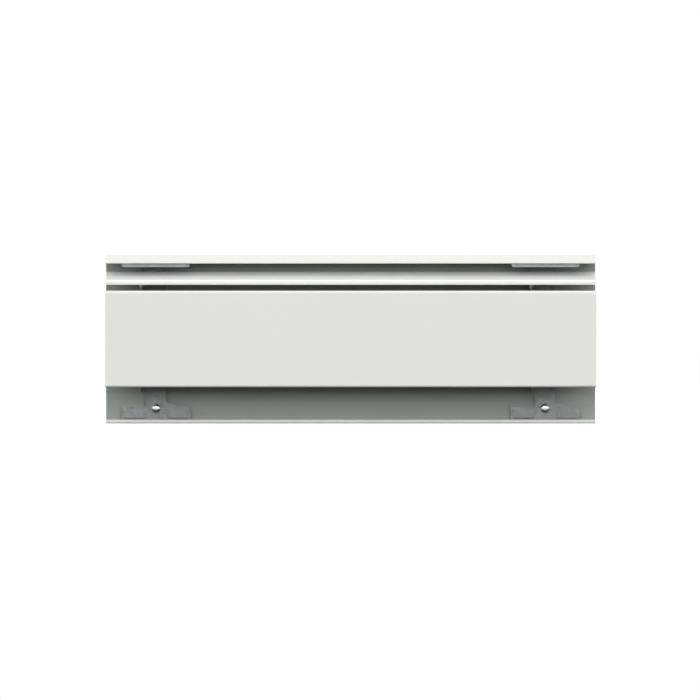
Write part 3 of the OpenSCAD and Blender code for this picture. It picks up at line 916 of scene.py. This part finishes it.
tree.links.new(gloss.outputs["Result"], metal.inputs["Roughness"])
tree.links.new(grooves.outputs["Normal"], metal.inputs["Normal"])
metal.inputs["Metallic"].default_value = 1.0

tube_start = across(TUBE_OUT, TUBE_HIGH, -TUBE_LENGTH / 2 * MM)
tube = turned_piece(TUBE, tube_start, (1, 0, 0), "swaged_copper_tube", [copper], segments=64)
even_shading(tube)
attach(tube, "element")
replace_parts(tube, "copper_tube")

# ---------------------------------------------------------------------------- fins
# Eighty plates of thin aluminium are stamped with a collar, a stiffening ring and two turned
# edges, then pressed one by one along the tube.

FIN_COUNT = 80
FIN_PITCH = 6.35
FIN_DEEP = 25.0
FIN_TALL = 29.0
FIN_SHEET = 0.3
FIN_LIP = 1.6
FIN_CORNER = 3.0
# Rings of a fin from the collar out, as radius and how far they stand along the tube
FIN_RINGS = [(11.4, 2.0), (11.45, 0.7), (12.2, 0.0), (16.5, 0.0), (17.5, 0.6), (20.0, 0.6), (21.0, 0.0)]

# Rolled aluminium foil stock: bright, with rolling lines up the plate. They are finer in life and
# are drawn 0.7 mm apart.
ROLL_LINE = 0.714
foil, tree, metal, place = start_finish("rolled_aluminium_sheet")
rolled_up = add_node(tree, "ShaderNodeMapping", {
    "Vector": place, "Scale": (1.0, 1 / (ROLL_LINE * MM), 30.0),
})
lines = add_node(tree, "ShaderNodeTexNoise", {
    "Vector": rolled_up.outputs["Vector"], "Scale": 1.0, "Detail": 2.0,
})
tint = add_node(tree, "ShaderNodeMix", {
    "Factor": lines.outputs["Fac"], "A": linear("#D3D5D7"), "B": linear("#E2E3E4"),
}, data_type="RGBA")
gloss = add_node(tree, "ShaderNodeMapRange", {
    "Value": lines.outputs["Fac"], "To Min": 0.25, "To Max": 0.40,
})
tree.links.new(tint.outputs["Result"], metal.inputs["Base Color"])
tree.links.new(gloss.outputs["Result"], metal.inputs["Roughness"])
metal.inputs["Metallic"].default_value = 1.0


def stamp_fin():
    """One fin's middle surface, with its plate in the plane x = 0 and the tube's axis through 0."""
    bm = bmesh.new()
    seed = [bm.verts.new((stand * MM, 0, radius * MM)) for radius, stand in FIN_RINGS]
    edges = [bm.edges.new(pair) for pair in zip(seed, seed[1:])]
    bmesh.ops.spin(bm, geom=seed + edges, cent=(0, 0, 0), axis=(1, 0, 0), angle=2 * math.pi,
                   steps=24, use_merge=True, use_duplicate=False)
    bmesh.ops.remove_doubles(bm, verts=bm.verts, dist=1e-6)
    last = FIN_RINGS[-1][0] * MM
    inner = [e for e in bm.edges if e.is_boundary and min(v.co.yz.length for v in e.verts) > last * 0.99]
    deep, tall, cut = FIN_DEEP * MM, FIN_TALL * MM, FIN_CORNER * MM
    outline = [(deep, tall - cut), (deep - cut, tall), (cut - deep, tall), (-deep, tall - cut),
               (-deep, cut - tall), (cut - deep, -tall), (deep - cut, -tall), (deep, cut - tall)]
    outer = loop(bm, [(0, y, z) for y, z in outline])
    bmesh.ops.triangle_fill(bm, use_beauty=True, edges=inner + outer)
    upright = [e for e in outer if abs(e.verts[0].co.y - e.verts[1].co.y) < 1e-9]
    for edge in upright:
        grown = bmesh.ops.extrude_edge_only(bm, edges=[edge])["geom"]
        bmesh.ops.translate(bm, verts=[v for v in grown if isinstance(v, bmesh.types.BMVert)],
                            vec=(FIN_LIP * MM, 0, 0))
    bmesh.ops.recalc_face_normals(bm, faces=bm.faces)
    return bm


one = stamp_fin()
fin_mesh = bpy.data.meshes.new("fin")
one.to_mesh(fin_mesh)
one.free()
pack = bmesh.new()
for i in range(FIN_COUNT):
    count = len(pack.verts)
    pack.from_mesh(fin_mesh)
    pack.verts.ensure_lookup_table()
    x = (i - (FIN_COUNT - 1) / 2) * FIN_PITCH * MM
    bmesh.ops.translate(pack, verts=pack.verts[count:], vec=across(TUBE_OUT, TUBE_HIGH, x))
bpy.data.meshes.remove(fin_mesh)
fins = finish_mesh(pack, "pressed_aluminium_fins", [foil])
give_thickness(fins, FIN_SHEET)
even_shading(fins)
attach(fins, "element")
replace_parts(fins, "fins")

# ---------------------------------------------------------------------------- cradles
# Each cradle is one black moulding that grips the fins from below and slides on the bracket's
# shelf, so that the element can creep to and fro as it heats without ticking.

CRADLE_UNDER = 61.3
CRADLE_FLOOR = CRADLE_UNDER + 2.2
CRADLE_HALF = 27.0
CRADLE_WALL = 1.8
CRADLE_LONG = 24.0
CRADLE_FROM = -10.0
FIN_LOW = TUBE_HIGH - FIN_TALL
RIBS = (21, 7, -7, -21)
RIB_HALF = 0.9
# Half of its section, as distance from the tube's axis and height: a foot beside the shelf, a wall,
# a bead that snaps over the fins' lower corners, and the floor
HALF_CRADLE = [
    (CRADLE_HALF - 1.6, CRADLE_UNDER), (CRADLE_HALF - 1.6, 58.6), (CRADLE_HALF, 58.6),
    (CRADLE_HALF, FIN_LOW + 9), (CRADLE_HALF - 0.6, FIN_LOW + 10), (CRADLE_HALF - CRADLE_WALL, FIN_LOW + 7),
    (CRADLE_HALF - CRADLE_WALL, CRADLE_FLOOR),
]

# Black heat-stabilised nylon: satin, with the fine spark-eroded grain of its mould, which is drawn
# at 0.8 mm.
GRAIN = 0.8
black, tree, plastic, place = start_finish("black_moulded_nylon")
grain = add_node(tree, "ShaderNodeTexNoise", {"Vector": place, "Scale": 1 / (GRAIN * MM), "Detail": 2.0})
tint = add_node(tree, "ShaderNodeMix", {
    "Factor": grain.outputs["Fac"], "A": linear("#232426"), "B": linear("#2E2F31"),
}, data_type="RGBA")
pits = add_node(tree, "ShaderNodeBump", {
    "Height": grain.outputs["Fac"], "Strength": 0.3, "Distance": 0.1 * MM,
})
tree.links.new(tint.outputs["Result"], plastic.inputs["Base Color"])
tree.links.new(pits.outputs["Normal"], plastic.inputs["Normal"])
plastic.inputs["Roughness"].default_value = 0.48


def section(bm, points, left, right):
    """A solid bar along the heater with a section given from the tube's axis."""
    face = bm.faces.new([bm.verts.new(across(TUBE_OUT + out, high, left)) for out, high in points])
    grown = bmesh.ops.extrude_face_region(bm, geom=[face])["geom"]
    bmesh.ops.translate(bm, verts=[v for v in grown if isinstance(v, bmesh.types.BMVert)],
                        vec=(right - left, 0, 0))


mirrored = [(-out, high) for out, high in reversed(HALF_CRADLE)]
ribs = [
    place for rib in RIBS for place in (
        (rib + RIB_HALF, CRADLE_FLOOR), (rib + RIB_HALF, FIN_LOW),
        (rib - RIB_HALF, FIN_LOW), (rib - RIB_HALF, CRADLE_FLOOR),
    )
]

for side, word in ((-1, "left"), (1, "right")):
    left = side * BRACKET_X + CRADLE_FROM * MM
    bm = bmesh.new()
    section(bm, HALF_CRADLE + ribs + mirrored, left, left + CRADLE_LONG * MM)
    bmesh.ops.recalc_face_normals(bm, faces=bm.faces)
    cradle = finish_mesh(bm, f"{word}_sliding_cradle", [black])
    ease_edges(cradle, 0.3)
    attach(cradle, "element")
    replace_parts(cradle, f"{word}_cradle")
